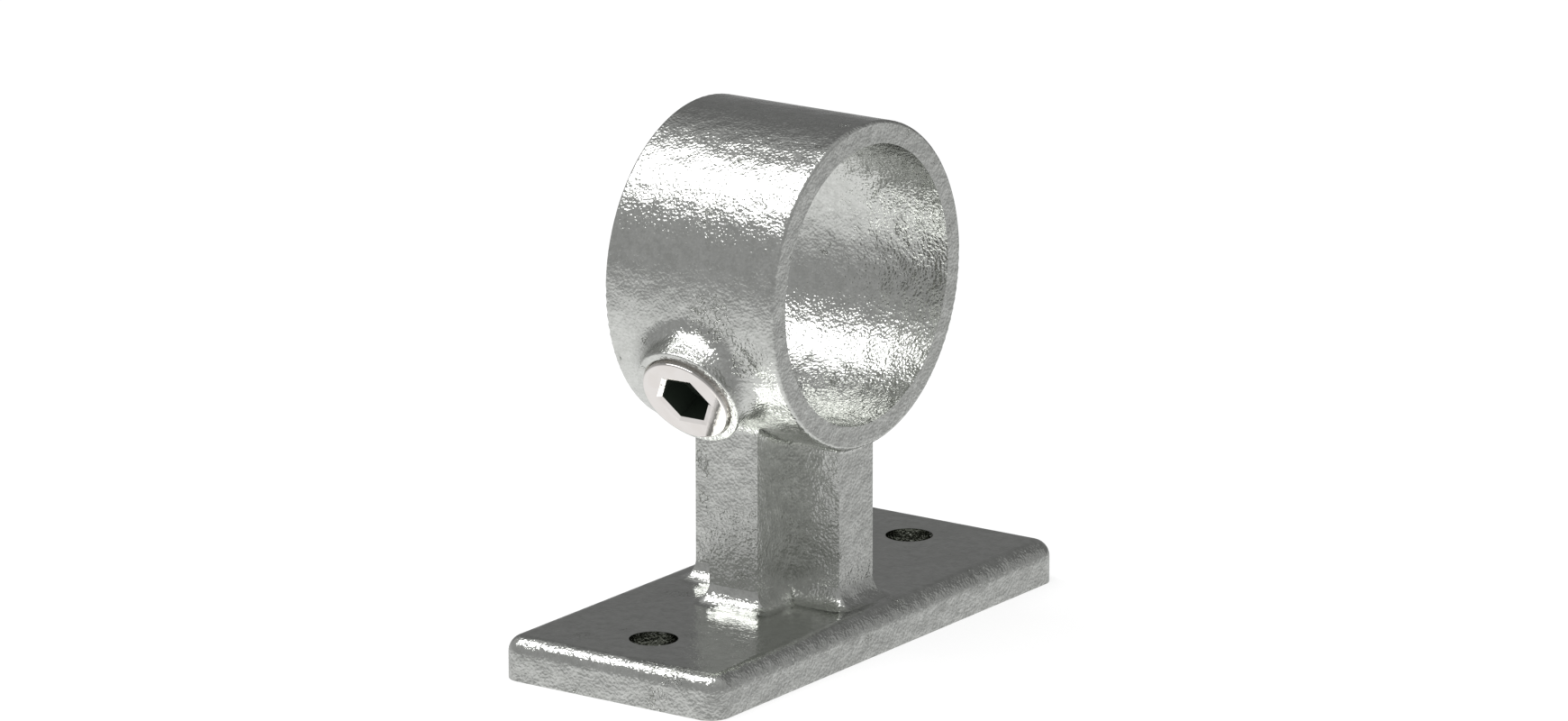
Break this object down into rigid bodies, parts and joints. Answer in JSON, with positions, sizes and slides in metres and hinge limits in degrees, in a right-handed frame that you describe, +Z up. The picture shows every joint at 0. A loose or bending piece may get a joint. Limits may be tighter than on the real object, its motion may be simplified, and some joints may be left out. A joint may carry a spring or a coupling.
{
  "type": "handrail bracket",
  "caption": "Cast handrail bracket: a round collar on a cross-shaped stem and a two-bolt foot, with a grub screw in an angled boss that locks the rail.",
  "frame": {"origin": "centre of the underside of the foot", "axes": "+X along the rail, +Y along the foot away from the grub screw, +Z up through the stem to the rail"},
  "size_m": [0.0454, 0.1048, 0.0928],
  "materials": {
    "cast_bracket": "hot-dip galvanised casting, light grey, finely hammered and half bright",
    "grub_screw": "turned and polished, bright plated steel"
  },
  "bodies": {
    "bracket": {"cast_bracket": "cast_bracket"},
    "screw": {"grub_screw": "grub_screw"}
  },
  "joints": [
    {"name": "grub_screw_travel", "type": "slide", "parent": "bracket", "child": "screw", "axis": [0, -0.8704, -0.4924], "range_m": [-0.00095, 0.005]}
  ]
}
